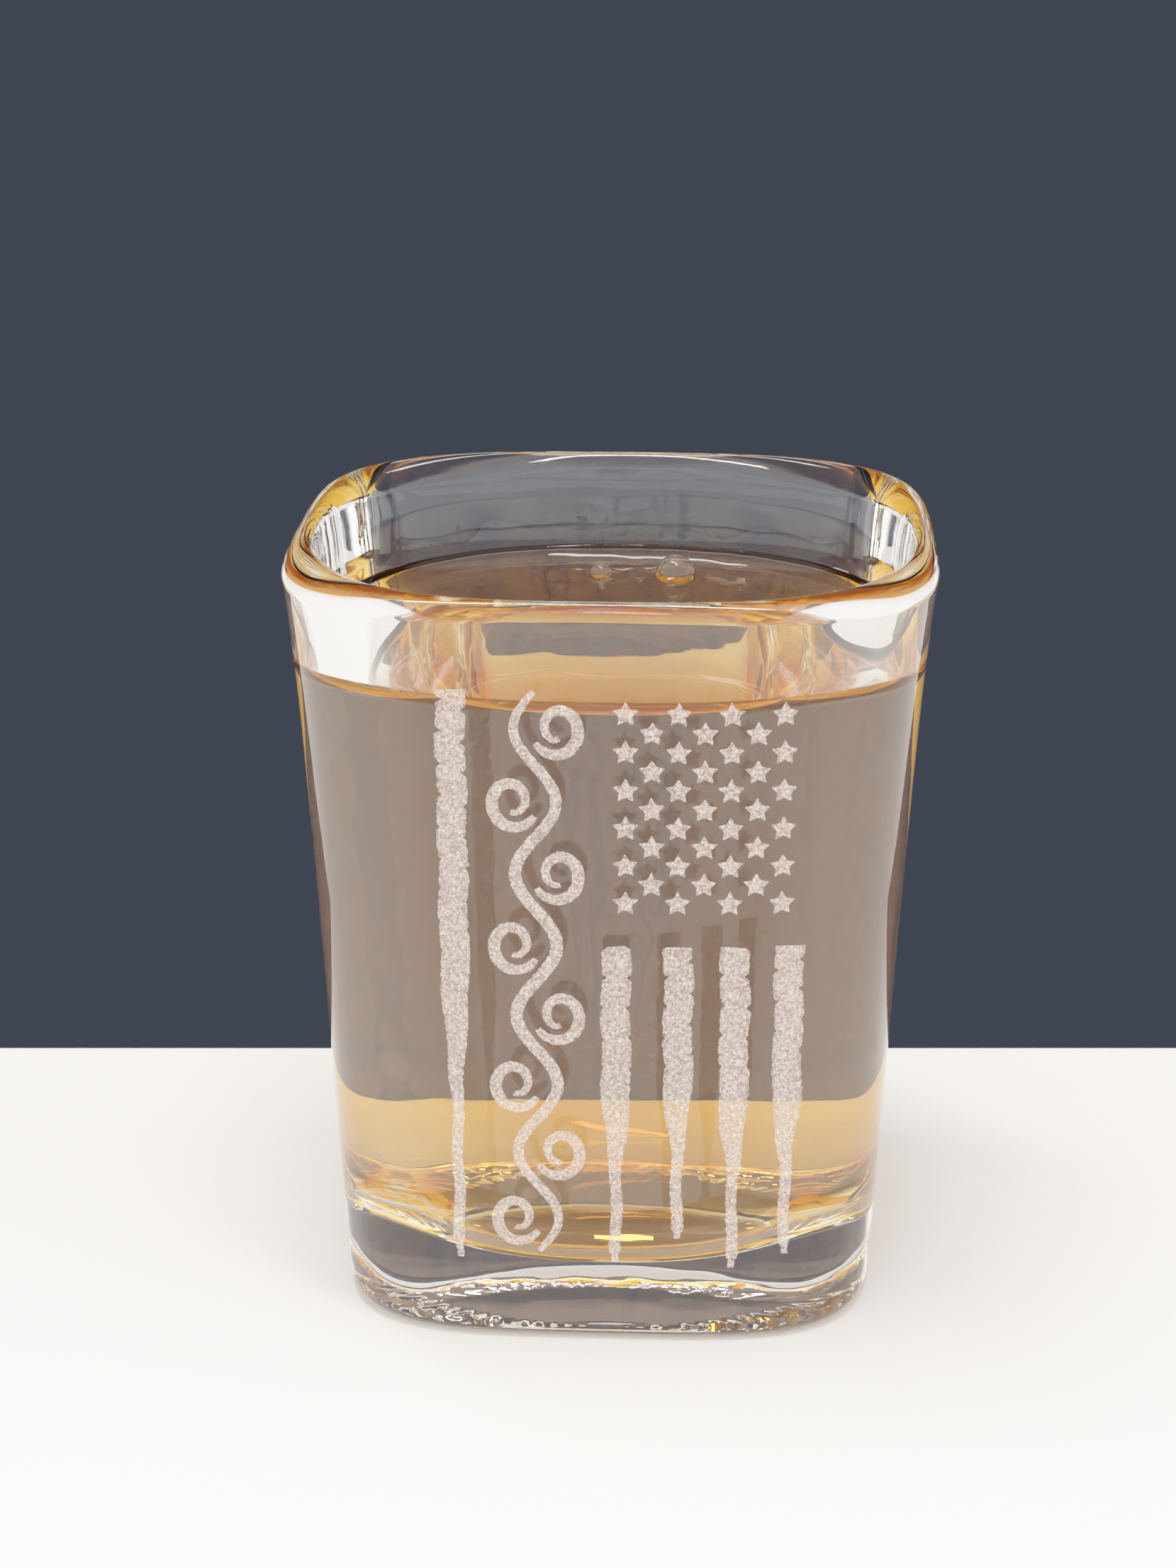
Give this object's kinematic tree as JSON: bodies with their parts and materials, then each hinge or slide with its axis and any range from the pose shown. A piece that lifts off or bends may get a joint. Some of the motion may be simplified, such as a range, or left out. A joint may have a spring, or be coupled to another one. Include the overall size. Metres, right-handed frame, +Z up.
{
  "type": "shot glass",
  "caption": "Small square-sided drinking glass with a round bowl, a clear heavy foot, an amber drink inside and a frosted engraving on its front face.",
  "frame": {"origin": "middle of the foot, on the plane that the glass stands on", "axes": "+Z up along the glass's axis; the engraved face looks towards -Y, with +X to its right as it is seen from in front"},
  "size_m": [0.0474, 0.0474, 0.0572],
  "materials": {
    "clear_glass": "clear, fire-polished",
    "drink": "clear amber liquid",
    "frosted_glass": "frosted, fine sparkling grain"
  },
  "bodies": {
    "root": {"glass_body": "clear_glass", "drink": "drink", "engraved_stars": "frosted_glass", "engraved_tall_stripe": "frosted_glass", "engraved_stripe_1": "frosted_glass", "engraved_stripe_2": "frosted_glass", "engraved_stripe_3": "frosted_glass", "engraved_stripe_4": "frosted_glass", "engraved_vine": "frosted_glass"}
  },
  "joints": []
}
